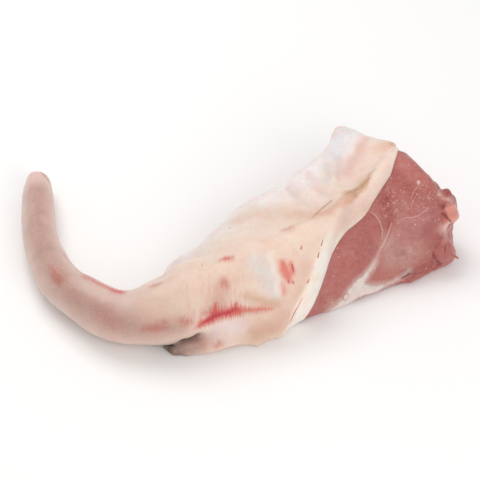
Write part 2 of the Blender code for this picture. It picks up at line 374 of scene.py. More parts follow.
# washes of colour on the rind: spots with the reach of the colour round them, the colour, and its strength
skinWashes = [
    # the tail, with painted shade along the middle of its top and front, and its paler, pinker tip
    ([(-133, 61, 11, 26), (-128, 15, 13, 26), (-108, -36, 15, 28), (-80, -60, 17, 30),
      (-52, -62, 21, 22)], "#d8beb6", 0.95),
    ([(-131, 46, 22, 8), (-128, 25, 24, 9), (-125, -1, 25, 10), (-117, -26, 27, 10), (-101, -54, 28, 10),
      (-84, -69, 28, 11), (-60, -79, 26, 12), (-38, -80, 26, 9)], "#ae7f72", 0.68),
    ([(-132, 64, 14, 12)], "#e3c0bb", 0.8),
    ([(-128, 21, 24, 5), (-128, 12, 24, 5)], "#ab8d7e", 0.35),
    ([(-110, -40, 28, 6)], "#a8705f", 0.45),
    ([(-123, -14, 27, 7)], "#a37668", 0.3),
    ([(-82, -71, 28, 8), (-76, -76, 25, 7)], "#bd7f70", 0.35),
    ([(-100, -56, 27, 5)], "#b98473", 0.25),
    ([(-120, 18, 20, 4), (-123, 17, 23, 4)], "#dcb8b4", 0.5),
    # the tail's root and the rump
    ([(-50, -70, 38, 12), (-38, -66, 42, 12)], "#e0c4b3", 0.8),
    ([(-20, -60, 46, 15), (0, -50, 49, 16)], "#e8ccbb", 0.8),
    ([(20, -34, 51, 7)], "#e4c1ae", 0.5),
    ([(39, -8, 51, 6)], "#d3a890", 0.55),
    ([(-12, -68, 38, 8)], "#cd9a8a", 0.7),
    ([(-30, -79, 30, 6)], "#cf9c8e", 0.4),
    ([(-7, -62, 44, 4)], "#d6958a", 0.6),
    # the far flap and its folds
    ([(-44, -24, 22, 12), (-18, -6, 32, 16), (8, 3, 42, 18), (35, 22, 48, 18), (60, 48, 52, 18),
      (75, 62, 52, 14)],
     "#ece5e2", 0.95),
    ([(69, 70, 53, 9), (65, 56, 52, 7), (61, 46, 52, 6)], "#e4e1e5", 0.9),
    ([(45, 34, 50, 6), (30, 20, 48, 6)], "#ece6e8", 0.7),
    ([(1, -4, 42, 7), (11, 0, 46, 7), (20, -6, 48, 9), (28, -1, 49, 6), (36, -7, 51, 8)], "#dfc0a8", 0.65),
    ([(65, 35, 50, 6), (71, 30, 50, 8), (75, 23, 51, 6)], "#ebccc0", 0.85),
    ([(86, 44, 54, 9), (80, 34, 53, 7)], "#eed3c4", 0.7),
    # painted shade along the valleys of the folds, pinkish grey
    ([(82, 57, 54, 4), (79, 49, 53, 5), (74, 40, 52, 5), (70, 32, 50, 4)], "#e0b5a8", 0.65),
    ([(66, 44, 51, 3), (65, 30, 50, 3)], "#dccbc9", 0.6),
    ([(58, 36, 52, 3), (59, 29, 51, 3), (56, 23, 51, 3)], "#d9cfcc", 0.75),
    ([(46, 30, 51, 3), (48, 24, 50, 3), (52, 16, 50, 3.5), (57, 12, 50, 3.5)], "#e0c6c2", 0.6),
    ([(33, 21, 49, 3), (36, 12, 49, 3), (41, 6, 50, 3)], "#dbc6bf", 0.6),
    ([(52, 8, 51, 5), (45, 2, 51, 5)], "#e4cfca", 0.6),
    ([(39, 15, 50, 6)], "#dcc3bb", 0.45),
    # pinker skin in the valley; the cream ridge beside it, its top partly a painted highlight; then brown
    # dirt, and the beige far corner
    ([(50, -9, 54, 5), (57, -8, 55, 5), (64, -2, 55, 5), (70, 3, 56, 5)], "#d9ab95", 0.85),
    ([(89, 15, 56, 3), (81, 4, 55, 3.5), (73, -3, 52, 3), (64, -10, 53, 3.5), (60, -16, 53, 3.5),
      (57, -22, 52, 3.5)], "#f0dccd", 0.9),
    ([(70, 8, 55, 4.5), (76, 10, 56, 5.5), (81, 12, 57, 5.5), (86, 19, 58, 4.5),
      (87.5, 24.5, 58.5, 2.5)], "#cea685", 0.9),
    ([(69, 9.5, 54, 2.2), (73.5, 5.5, 56, 2.4)], "#bd9070", 0.6),
    ([(73.5, 5.5, 56, 1.6)], "#a97a55", 0.7),
    ([(69, 2, 54, 5)], "#d9ad94", 0.7),
    ([(89, 49, 54, 4), (94, 50, 55, 5), (98, 53, 56, 4)], "#e2bfa8", 0.85),
    ([(100, 53.5, 55.5, 2.5)], "#c98a7a", 0.75),
    # the smooth hollow with a painted bluish-white sheen, a painted highlight along its lit edge, and the
    # beige band under it
    ([(12, -46, 48, 6), (17, -53, 44, 7.5), (20, -58, 40, 6), (24, -61, 34, 3.5)], "#dfdad5", 0.88),
    ([(19, -42, 50, 3.5), (22.5, -49, 46, 2.5), (24.5, -56.5, 40, 2), (26, -61, 33, 1.5)], "#f0e8e0", 0.65),
    ([(6, -64, 37, 3.5), (17, -64, 32, 3.5), (26, -64, 29, 3)], "#d6ad92", 0.75),
    ([(42, -47, 43, 6), (38, -54, 32, 6)], "#e2beaa", 0.7),
    # the near flap
    ([(11, -70, 11, 9), (21, -68, 13, 9)], "#d3a88f", 0.85),
    ([(29, -64, 20, 8)], "#d6a998", 0.6),
    # a painted sheen, pinkish white, on the near flap under the streak
    ([(-14, -73, 16, 7), (-5, -71, 17, 8), (2, -70, 16, 6)], "#ecdad7", 0.9),
    # painted shade: the crevice under the tail dark red-brown, the near flap's end beneath it dark
    # grey-brown, lightening towards the right
    ([(-22, -75, 9, 7)], "#b98a82", 0.8),
    ([(-23, -74.5, 14, 1.2), (-27, -75, 11.5, 2), (-33.5, -75, 9, 2.5), (-40, -71.5, 4, 2.5)],
     "#6a3a32", 0.7),
    ([(-36, -78, 1, 7), (-45, -76, 1, 8)], "#54433d", 0.95),
    ([(-33, -78, 5, 4), (-27, -77, 6, 5)], "#ab857d", 0.6),
]

fatWashes = [
    ([(99, 42, 56, 12), (88, 12, 52, 10)], "#edd3c5", 0.8),
    ([(79, 1, 50, 8), (66, -8, 46, 9)], "#e2c1b1", 0.9),
    ([(55, -36, 37, 13), (49, -48, 22, 13), (40, -55, 8, 11)], "#fff3ea", 1),
]

# marks as chains of spots (x, y, z, radius)
bloodMarks = [
    [(-23, -77, 24, 0.4), (-20, -76, 26.5, 2), (-16.5, -75, 27.5, 3), (-14, -73.5, 29, 3.4),
     (-11, -72, 28.5, 3.2), (-7.5, -70, 28, 2.9), (-4, -68.5, 28, 2.8), (-1.5, -67.5, 29, 2)],
    [(-14, -73, 31, 2), (-13.5, -71.5, 34, 0.8), (-13, -70, 37, -0.4)],
    [(-2.5, -67.5, 29.5, 2.2), (-1.5, -67, 32.5, 0.6)],
    [(-7.5, -44.5, 49.5, 0), (-5, -44.5, 49.5, 0.2)],
    [(-96, -35, 26, -1), (-88, -45, 29, -0.4), (-80, -50, 30.5, 0.2), (-72, -55.5, 32.5, 1),
     (-69.5, -56.5, 33.5, 0.1)],
]
# lighter, more orange than blood: the end of the streak, and the patch beside the hollow
stainMarks = [
    [(-4, -68.5, 28, 3), (0, -68, 28, 2.4), (6, -67.5, 28, 1.5), (13, -66.5, 28, 0.8),
     (21, -65.5, 27.5, 0)],
    [(27.5, -45.5, 47, 1.6), (28.5, -48.5, 45.5, 3), (30.5, -51.5, 42.5, 3), (31.5, -53.5, 40.5, 1.8)],
    [(32.5, -45.5, 46.5, 1.2), (33.5, -50, 43, 1.6)],
    [(27.5, -55.5, 40, 0), (28.5, -58.5, 36, 0.7), (28.5, -59, 34.5, 0.3)],
]
blushMarks = [
    [(-19.5, -74, 33, 1.5), (-14, -72.5, 32.5, 3.5), (-8.5, -69.5, 31, 2), (3, -67.5, 27.5, 1.5),
     (19.5, -65.5, 27.5, 0)],
    [(-22.5, -77, 24.5, 1), (-14, -73.5, 28, 3), (-1.5, -67.5, 28, 2.4)],
    [(-58, -81, 25, 0), (-53, -80.5, 26.5, 1.6), (-48.5, -81, 27, 2.6), (-42.5, -80.5, 27.5, 1)],
    [(-44, -80, 30.5, 1.6)],
    [(-33, -78.5, 31, 1.2), (-30.5, -78.5, 29.5, 1.6), (-32, -79, 27.5, 0.6)],
    [(-116, -29.5, 28, 0), (-112.5, -37, 28, 2.2), (-110.5, -42, 27.5, 1.4)],
    [(-8, -60.5, 45, 1.6)],
    [(-10, -45, 49, 0.2), (-6.5, -44.5, 49.5, 1), (-3, -44, 50, 0.4)],
    [(-12.5, -77.5, 7, 1), (-10.5, -76.5, 8, 1)],
    [(-51, -59.5, 42, 0.8), (-48, -59, 43.5, 1)],
    [(-108.5, -15, 22.5, 0.5), (-105, -19, 21, 1), (-99, -28.5, 22.5, 1.6), (-92.5, -41.5, 29, 1.8),
     (-85, -47, 30, 2), (-78.5, -51, 31, 1.8), (-72, -55.5, 32.5, 2)],
    [(28.5, -22.5, 52.5, 0), (31, -22, 52.5, 0.4), (33.5, -20.5, 52.5, 0)],
]
dirtAndCreaseShadeMarks = [
    [(68, 10, 52.5, 1.5), (72, 8, 56, 4), (77, 10, 57, 4), (82, 16, 58, 3.4), (87, 24, 58.5, 1.5)],
    # a thin brown line along the crease: painted shade
    [(26, -24, 52, -0.8), (47, -12.5, 53.5, 0), (59, 4.5, 51, 0.6)],
]
# thin strokes (x, y, z, half width): red scratches, then brown lines
redStrokes = [
    [(-4.5, -10, 42, 0.5), (-4, -10, 42, 0.4)],
    [(40, -56.5, 28, 0.2), (37, -58.5, 22, 0.4), (34.5, -60, 17.5, 0.65), (33, -61.5, 14.5, 0.6),
     (30.5, -63, 11.5, 0.25)],
    [(52.5, -29, 50.5, 0.25), (51.5, -32.5, 49, 0.4)],
    [(50, -36.5, 47, 0.3), (49.5, -39, 45.5, 0.55)],
    [(44, -50.5, 38, 0.25), (43, -52, 36.5, 0.5)],
    [(39.5, -34.5, 50.5, 0.3), (39, -36.5, 50, 0.5)],
    [(34, -53.5, 39, 0.5), (34.5, -54.5, 38, 0.4)],
    [(33.5, -46, 46, 0.4), (34, -48, 44.5, 0.6), (34.5, -49.5, 43, 0.3)],
    [(31, -53.5, 40, 0.4), (31.5, -54.5, 38.5, 0.3)],
]
brownStrokes = [
    # along the crease: painted shade, brown
    [(46.5, -13.5, 53.5, 0.25), (51, -6, 53, 0.4), (54.5, -1, 52, 0.45), (59, 5, 51, 0.3)],
    [(-21.5, -48, 48, 0.4), (-21, -49, 48, 0.3)],
    [(98, 44.5, 55.5, 0.15), (101, 49, 55.5, 0.3)],
    [(-130, 65.5, 18.5, 0.4), (-127, 62.5, 19, 0.9), (-125, 60, 17.5, 0.9), (-123.5, 56, 16, 0.4)],
]


def dressSkin(skin, boundary):
    points, normals = readPoints(skin), readNormals(skin)
    look = skinForm
    x, y, z = points.T
    leanSide = sideOf(points, normals, boundary)                          # below 0 under the lean
    leanSide = np.where(inPlan(points, keptSkin) & (np.abs(leanSide) > 9), 9, leanSide)
    fatSide = np.where(x < 12, 30, sideOf(points, normals, skinEdge))     # below 0 on the cut fat
    fatSide = np.where(y > 20 + 0.45 * (x - 12), np.maximum(fatSide, 3), fatSide)
    rim, behind = (np.interp(x, [p[0] for p in farEdge], [p[k] for p in farEdge]) for k in (2, 1))
    below = np.where((y > behind - 14) & (x > -52), rim - z, -9)          # depth under the far rim
    onTail = ease(26, 20, nearPath(points, tailAxis)[0]) * ease(-5, -35, x)
    push = look["unevenness"] * softNoise(points, 17, 1) + look["bumps"] * softNoise(points, 6, 2)
    push += look["tailBumps"] * softNoise(points, 11, 3) * onTail
    # wrinkles run across the root of the tail, deepest by the streak
    root = ease(-60, -34, x) * ease(14, -8, x) * ease(-44, -60, y) * ease(4, 16, z)
    push += look["wrinkles"] * softNoise(points * (2.4, 0.3, 0.4), 7, 5) * root
    # the valley behind the skin's ridge, the flap's folds, and the dents of the rump
    away, past, _ = nearPath(points, crease)
    push += groove(away, look["valley"] * ease(95, 60, past), 2.8) + 0.3 * np.exp(-(((away - 5) / 2) ** 2))
    for fold in flapFolds:
        away, _, across = nearPath(points, fold, normals)
        raised = 0.4 * np.exp(-(((across - 5) / 3) ** 2)) * (away < 12)
        push += groove(away, look["foldDepth"], 3.2) + raised
    push += groove(nearPath(points, streakFold)[0], look["streakDepth"], 2.6)
    push += groove(nearPath(points, crevice)[0], look["creviceDepth"], 2.4)
    push -= 0.5 * lobe(points, (18, -55, 42), 6)
    # the dirty hollow is shallow
    push += 1.3 * lobe(points, (67, 12, 50), 5) - 0.9 * lobe(points, (73, 8, 57), 5)
    # the lit edge of the bluish one
    push -= groove(nearPath(points, hollowEdge)[0], 0.25, 3)
    # the cut edge of the skin, then the smooth fat
    push *= ease(-12, -1, fatSide) * 0.8 + 0.2
    push += look["edgeLip"] * np.exp(-(((fatSide - 1) / 1.6) ** 2))
    push *= ease(0, 2.5, leanSide)
    push -= look["tucked"] * ease(0, -1.4, leanSide)
    # what the material reads, with ragged edges on the washes of colour
    shaken = points + np.column_stack([look["washRagged"] * softNoise(points, 5, 20 + k) for k in range(3)])
    paint(skin, "tint", washOver(shaken, look["color"], skinWashes))
    paint(skin, "fatTint", washOver(points, look["fatColor"], fatWashes))
    upwards = np.tile((0, 0, 1), (len(points), 1))
    under = -nearPath(points, underEdge, upwards)[2]
    under = np.where((z < 1.5) & (normals[:, 2] < -0.6) & (x > -56), under, -9)
    paint(skin, "zones", np.column_stack([fatSide, under, below]))
    marks = [outside(points, onSurface(skin, group)) for group in (bloodMarks, blushMarks, dirtAndCreaseShadeMarks)]
    paint(skin, "marks", np.column_stack(marks))
    paint(skin, "stain", outside(points, onSurface(skin, stainMarks)))
    paint(skin, "redLine", nearStroke(points, normals, onSurface(skin, redStrokes)))
    paint(skin, "brownLine", nearStroke(points, normals, onSurface(skin, brownStrokes)))
    wrinkled = ease(-46, -30, x) * ease(12, 0, x) * ease(-46, -60, y) * ease(18, 25, z)
    paint(skin, "wrinkled", wrinkled * (0.7 + 0.5 * softNoise(points, 8, 8)))
    # distance to the crevice, for the dark red-brown painted shade along it, which narrows towards the
    # right
    narrowed = 1.6 * ease(-36, -22, x)
    paint(skin, "crevice", nearPath(points, crevice)[0] + narrowed)
    moved = settle(points, normals, push)
    sunk = (z < 0.6) & (normals[:, 2] < -0.3) & ~inPlan(points, keptSkin)
    outline = np.column_stack([keptSkin + keptSkin[:1], np.zeros(len(keptSkin) + 1)])
    inward = ease(0.2, 1.6, nearPath(points * (1, 1, 0), outline)[0])
    moved[:, 2] += np.where(sunk, look["tucked"] * inward, 0)
    writePoints(skin, moved)


# lean, with the far cut wall and the lumps at the cut end

leanForm = {
    "color": "#b66b65",       # of the meat, under its washes
    "fatColor": "#e3d6cf",    # of the white wedge and its membrane
    "inset": 0.45,            # the lean stands this much below the cut fat
    "tucked": 2.4,            # and this much under the skin where they overlap
    "unevenness": 0.3,        # slow lumps all over
    "bumps": 0.22,            # smaller ones
    "grain": 0.06,            # the finest
    "cutEndBumps": 0.5,       # added at the cut end
    "fatRaised": 0.4,         # the white wedge stands proud of the meat
    "washRagged": 1.1,        # how far the edges of the colours wander
    "grid": 0.7,              # size of the new mesh's faces
    "triangles": 190000,
}

# lumps of meat and gristle: place, half sizes, turn in plan
lumps = {
    "topLump": ((131.8, 21, 38.6), (5.2, 5, 4.8), 20),
    "gristle": ((134.6, 9.8, 35), (5.2, 4.8, 6), 10),
    "lowLump": ((129.6, -2.6, 15), (6.4, 6.6, 10), -15),
    "lipLump": ((124, -3.8, 8.2), (5, 4.4, 5.6), 25),
}
# seams between the muscles: path, depth, width
seams = [
    ([(82.5, 1, 46), (86.5, 0.5, 42.5), (89.5, -2.5, 39.5), (91, -5.5, 35.5), (90.5, -9.5, 32)], 0.5, 0.9),
    ([(95, 18, 52), (97, 13.5, 49), (98.5, 7.5, 45), (98, 0.5, 39.5), (94.5, -7, 33), (89.5, -14, 26.5),
      (83.5, -23, 18), (80, -26, 15)], 0.7, 1.1),
    ([(80, -27.5, 12.5), (84, -27.5, 8), (93, -23.5, 4.5), (99, -20.5, 4), (109, -16, 10),
      (118, -11, 10.5)], 0.9, 1.2),
    ([(123.5, 27, 47), (127, 17.5, 47), (129.5, 12, 43.5), (129.5, 6.5, 37.5), (129, 1, 29),
      (127.5, -5.5, 16.5)], 0.9, 1.3),
    ([(127.5, -6, 17), (127.5, -6.5, 12.5), (128, -6.5, 6)], 1.6, 0.9),
    ([(130.5, -5.5, 21.5), (132, -7, 19.5), (131.5, -8, 15.5)], 0.9, 0.8),
    ([(130, 7, 37.5), (133, 5.5, 34.5), (136, 4, 31)], 1.5, 0.9),
    ([(128.5, 16.5, 44.5), (132, 14.5, 42), (137, 15.5, 38.5)], 1, 1),
]
fatChains = [
    # the white wedge low at the front, with the thin membrane that leaves it, and the seam above it
    [(86, -20, 21, 0.1), (83.5, -23, 18, 0.8), (80, -26, 15, 2), (76.5, -29, 12, 3.8),
     (72.5, -32.5, 8, 5), (67.5, -37, 4, 4.8), (61.5, -41.5, 1.5, 3), (56, -45, 0, 1)],
    [(74, -32, 6, 3.6), (79.5, -30, 7.5, 4), (84, -28.5, 5.5, 3.2), (88.5, -26, 4.5, 2),
     (93, -23.5, 4, 1.1), (99, -20.5, 4, 0.5), (103.5, -18.5, 6, 0.25), (109, -16, 10, 0.1)],
]
paleStrokes = [
    [(82.5, 1, 46, 0.3), (86.5, 0.5, 42.5, 0.45), (89.5, -2.5, 39.5, 0.5), (91, -5.5, 35.5, 0.5),
     (90.5, -9.5, 32, 0.4)],
    [(97, -1.5, 38, 0.3), (94.5, -7, 33, 0.6), (92.5, -10.5, 30, 0.8), (89.5, -14, 26.5, 1),
     (87, -19, 22, 1.3), (83.5, -23, 18, 1.6)],
    [(95, 18, 52, 0.4), (95.5, 16, 50.5, 0.25)],
    [(114.5, 19, 50.5, 0.25), (111, 15, 48.5, 0.25), (109.5, 11, 46.5, 0.2)],
    [(106, 2, 39.5, 0.2), (110, 2, 39, 0.3), (114, 3, 40, 0.3), (117, 4.5, 41, 0.25), (120, 7, 43, 0.2)],
    [(107, -12, 22, 0.15), (110, -10.5, 23.5, 0.3)],
]
# dark lines, painted shade: in the slits of the low lump, the crease and recess by the gristle, a notch in
# the membrane, and the gap over the rough strip
darkStrokes = [
    [(126.5, -6, 17, 0.4), (127, -6.5, 12.5, 0.7), (128, -6.5, 8, 0.5)],
    [(131.5, -5, 22, 0.3), (131, -6.5, 19.5, 0.5), (130.5, -7.5, 16, 0.3)],
    [(130, 7, 37.5, 0.5), (132.5, 6, 35.5, 0.8), (134.5, 5, 33.5, 0.8), (135, 4.5, 31.5, 0.5)],
    [(130, 9, 40.5, 0.8), (130.5, 10.5, 41.5, 0.6)],
    [(135, 1, 25.5, 0.5), (136, 0.5, 24.5, 0.5)],
    [(104, -18.5, 5.5, 0.4), (109, -17, 8, 0.6), (116, -14, 6.5, 0.4)],
]
nodule = (67.3, -36.7, 8)
roughStrip = [[(100.5, -20.5, 2.5, 1.5), (106.5, -18.5, 4, 3), (112, -16, 5.5, 3.7), (118.5, -12.5, 5, 4),
               (123, -8, 4, 3)]]

leanWashes = [
    # the muscle on the left, the dark strip beside it and the large one in the middle
    ([(70, -16, 37, 13), (64, -32, 23, 12)], "#b96f68", 0.85),
    ([(76, -12, 36, 5), (80, -14, 30, 5)], "#9c4f4a", 0.5),
    ([(62, -24, 34, 4), (57, -33, 30, 3.5), (60, -36, 18, 4)], "#bd736c", 0.6),
    ([(72, -28, 20, 5)], "#bb766d", 0.5),
    ([(94, 10, 48, 4), (94, 3, 42, 4.5), (94, -4, 36, 3.5)], "#9f4642", 0.85),
    ([(106, 34, 54, 11), (112, 26, 52, 9)], "#bd7169", 0.85),
    ([(112, 13, 47, 5), (108, 20, 50, 4)], "#a5504b", 0.65),
    ([(104, 8, 44, 5), (103, -2, 36, 6)], "#b87b73", 0.75),
    ([(99, 27, 54, 4)], "#a9564f", 0.5),
    # a paler, greyer patch of silver skin on the large muscle, partly painted sheen
    ([(96, -11, 28, 7.5), (98, -16, 21, 9), (106, -13, 19, 9), (113, -9, 22, 7)], "#c2988d", 0.85),
    ([(122, 8, 40, 7), (119, -1, 31, 7)], "#a9625f", 0.7),
    ([(117, -6, 22, 6)], "#b6766e", 0.7),
    ([(90, -24, 10, 4), (100, -18, 10, 5)], "#b9766b", 0.7),
    ([(58, -43, 5, 6)], "#c4988a", 0.8),
    ([(48, -51, 3, 5)], "#b0605a", 0.6),
    # painted shade, darker red, where the lean meets the table
    ([(84, -29, 3, 2), (96, -22, 2.5, 2), (72, -37, 0, 2)], "#a85a55", 0.8),
    ([(104, 52, 52, 4), (118, 39, 51, 3.5), (127, 28, 46, 3.5)], "#98554f", 0.7),
    ([(114.5, 21, 51.5, 0.9)], "#f6e4da", 0.95),
    ([(109, -16, 7, 4), (116, -12, 6, 4), (122, -8, 6, 4)], "#a04c47", 0.85),
    # the far cut wall: one muscle after another, with pale seams between them
    ([(96, 57, 20, 13)], "#c08077", 0.6),
    ([(66, 74, 22, 10)], "#9f5551", 0.5),
    ([(52, 52, 14, 13)], "#c0827a", 0.6),
    ([(20, 24, 16, 12), (8, 18, 8, 9)], "#a45a54", 0.5),
    ([(-16, -1, 8, 12)], "#c28b80", 0.6),
    ([(80, 67, 34, 2.5), (76, 69, 20, 3), (78, 68, 4, 3)], "#dbb0a5", 0.6),
    ([(44, 42, 33, 2), (37, 37, 22, 3), (30, 32, 12, 3), (26, 30, 2, 2)], "#e0bdb1", 0.7),
    ([(9, 17, 26, 2), (4, 13, 14, 3), (-4, 9, 4, 2.5)], "#d8aca0", 0.6),
    # the lumps at the cut end
    ([(132, 21, 42, 6), (137, 21, 38, 4)], "#9a4743", 0.9),
    ([(136, 19, 40.5, 2)], "#b5695f", 0.6),
    ([(127.5, 18, 46.5, 1.5), (129, 15, 45, 1.6), (133, 14.5, 42.5, 1.5), (136.5, 16, 40.5, 1.3)],
     "#cf9f92", 0.9),
    # painted highlights on the rim band
    ([(128, 16.5, 46, 1)], "#efdbd2", 0.85),
    ([(133.5, 14.5, 42, 0.9)], "#ead0c5", 0.8),
    # painted shade in the recess below the rim band
    ([(130, 10, 41.5, 2)], "#963f3b", 0.85),
    ([(135, 9, 38, 4.2), (136, 6, 34, 3.5)], "#eba892", 0.95),
    # painted highlight on the gristle's lit right bulge
    ([(140, 12, 36, 4)], "#ffeadb", 0.95),
    ([(132, 5, 34, 1.8)], "#c5625a", 0.85),
    ([(129, 2, 31, 2.5), (131.5, -3, 24.5, 2)], "#cfa49b", 0.85),
    ([(134, 3, 30, 3.2), (134, 0.5, 26, 2.5)], "#e9cbc2", 0.95),
    ([(138, 3, 28, 4.5)], "#e2bfb6", 0.9),
    # painted highlights on the membrane
    ([(134, 2, 28, 2.5)], "#f6e6df", 0.85),
    ([(136.5, 3, 30, 2.2), (135.5, 2, 27, 1.5)], "#fff6f2", 0.95),
    ([(133, -5, 18, 7), (128, -6, 9, 6)], "#aa605a", 0.85),
    ([(136, -5, 20, 2.5)], "#bb7469", 0.6),
    ([(139, -6.5, 12.5, 2.5)], "#ad755c", 0.9),
]


def makeBlock(name, outline):  # an upright block over an outline in plan, from below the meat to above it
    mesh = bpy.data.meshes.new(name)
    mesh.from_pydata([(x * mm, y * mm, -10 * mm) for x, y in outline], [], [range(len(outline))])
    block = bpy.data.objects.new(name, mesh)
    bpy.context.scene.collection.objects.link(block)
    startEdit(block)
    bpy.ops.mesh.extrude_region_move(TRANSFORM_OT_translate={"value": (0, 0, 90 * mm)})
    bpy.ops.mesh.select_all(action="SELECT")
    bpy.ops.mesh.normals_make_consistent(inside=False)
    endEdit()
    return block


def makeLump(name, place, size, turn, seed):
    bpy.ops.mesh.primitive_ico_sphere_add(subdivisions=5, radius=1, location=(0, 0, 0))
    lump = bpy.context.object
    lump.name = name
    startEdit(lump)
    bpy.ops.transform.resize(value=[v * mm for v in size])
    bpy.ops.transform.rotate(value=-math.radians(turn), orient_axis="Z", center_override=(0, 0, 0))
    bpy.ops.transform.translate(value=[v * mm for v in place])
    endEdit()
    points, normals = readPoints(lump), readNormals(lump)
    push = 0.9 * softNoise(points, 5, seed) + 0.3 * softNoise(points, 2.2, seed + 1)
    writePoints(lump, points + normals * push[:, None])
    return lump


def makeTag(name, place, tip, width):  # a thin tag of meat that hangs from the low lump
    start, end = Vector(place) * mm, Vector(tip) * mm
    turn = (end - start).to_track_quat("Z", "Y").to_euler()
    bpy.ops.mesh.primitive_cone_add(vertices=12, radius1=width * mm, radius2=0.3 * width * mm,
                                    depth=(end - start).length, location=(start + end) / 2, rotation=turn)
    bpy.context.object.name = name
    bpy.ops.object.transform_apply(location=True, rotation=True, scale=True)
    return bpy.context.object


def tuckLean(lean, boundary):  # before the cut, while all normals still point away from the meat
    points, normals = readPoints(lean), readNormals(lean)
    under = (points[:, 2] < 1.5) & (normals[:, 2] < -0.3)
    skinSide = np.where(under, -20, sideOf(points, normals, boundary))
    push = -leanForm["inset"] * ease(4, 0.5, -skinSide)
    push -= (leanForm["tucked"] - leanForm["inset"]) * ease(0.1, 1.6, skinSide)
    writePoints(lean, settle(points, normals, push))


def dressLean(lean):
    points, normals = readPoints(lean), readNormals(lean)
    look = leanForm
    push = look["unevenness"] * softNoise(points, 13, 11) + look["bumps"] * softNoise(points, 5, 12)
    push += look["grain"] * softNoise(points, 1.7, 13)
    push += look["cutEndBumps"] * softNoise(points, 4, 15) * ease(122, 128, points[:, 0])
    for path, depth, width in seams:
        away = nearPath(points, path)[0]
        push += groove(away, depth, width) + 0.3 * depth * np.exp(-(((away - 3 * width) / width) ** 2))
    fat = outside(points, fatChains)
    rough = outside(points, roughStrip)
    knobbly = ease(1.5, -1, rough) * (0.2 + 0.8 * softNoise(points, 3.2, 14))
    push += look["fatRaised"] * ease(1, -1, fat) + knobbly
    # a ring of fat round a small pit
    away = np.linalg.norm(points - np.array(nodule), axis=1)
    push += 0.6 * np.exp(-(((away - 2) / 0.7) ** 2)) - 0.4 * np.exp(-((away / 0.9) ** 2))
    # what the material reads
    shaken = points + np.column_stack([look["washRagged"] * softNoise(points, 4, 40 + k) for k in range(3)])
    paint(lean, "tint", washOver(shaken, look["color"], leanWashes))
    paint(lean, "paleLine", nearStroke(points, normals, onSurface(lean, paleStrokes)))
    paint(lean, "darkLine", nearStroke(points, normals, onSurface(lean, darkStrokes)))
    marbled = lobe(points, (113, 13, 46), 13) + 1.2 * lobe(points, (93, 9, 47), 9)
    paint(lean, "zones", np.column_stack([fat, marbled, np.abs(away - 2.3)]))
    paint(lean, "calm", 0.9 * ease(128, 132, points[:, 0]))
    writePoints(lean, settle(points, normals, push))


# materials

# sockets go by name or number: a MapRange has its value at 0 and its four ends after it, a Mix of colours
# its share at 0 and the colours at 6 and 7
def addNode(tree, kind, inputs=None, output=0, **settings):
    node = tree.nodes.new("ShaderNode" + kind)
    for name, value in settings.items():
        setattr(node, name, value)
    for key, value in (inputs or {}).items():
        if isinstance(value, bpy.types.NodeSocket):
            tree.links.new(value, node.inputs[key])
        else:
            node.inputs[key].default_value = value
    return node.outputs[output]


def startMaterial(name, **settings):
    material = bpy.data.materials.new(name)
    material.use_nodes = True
    shader = material.node_tree.nodes["Principled BSDF"]
    for key, value in settings.items():
        shader.inputs[key.replace("_", " ")].default_value = value
    return material, material.node_tree, shader


def readPlace(tree):  # the place on the piece in millimetres
    spot = addNode(tree, "TexCoord", output=3)
    return addNode(tree, "VectorMath", {0: spot, 3: 1000.0}, operation="SCALE")


def readLayer(tree, name):  # the three values of a painted layer, and the layer itself
    layer = addNode(tree, "Attribute", output=1, attribute_name=name)
    return list(addNode(tree, "SeparateXYZ", {0: layer}).node.outputs) + [layer]


def mottle(tree, color, place, spots):
    # noise patches: their size, detail, where they start and end, strength, colour
    for size, detail, low, high, strength, shade in spots:
        noise = addNode(tree, "TexNoise", {"Vector": place, "Scale": 1 / size, "Detail": detail})
        share = addNode(tree, "MapRange", {0: noise, 1: low, 2: high, 4: strength})
        color = addNode(tree, "Mix", {0: share, 6: color, 7: linear(shade)}, 2, data_type="RGBA")
    return color


def layMarks(tree, color, marks):
    # marks from the distance to their edge: distance, reach past the edge, blur, strength, colour, fray
    for distance, reach, blur, strength, shade, fray in marks:
        if fray is not None:
            distance = addNode(tree, "Math", {0: distance, 1: fray}, operation="ADD")
        ends = {0: distance, 1: reach + blur, 2: reach - blur, 4: strength}
        share = addNode(tree, "MapRange", ends, interpolation_type="SMOOTHSTEP")
        shade = linear(shade) if isinstance(shade, str) else shade
        color = addNode(tree, "Mix", {0: share, 6: color, 7: shade}, 2, data_type="RGBA")
    return color


def strokeLength(tree, name):  # 1 at the border of the nearest stroke
    layer = readLayer(tree, name)[3]
    return addNode(tree, "VectorMath", {0: layer}, 1, operation="LENGTH")


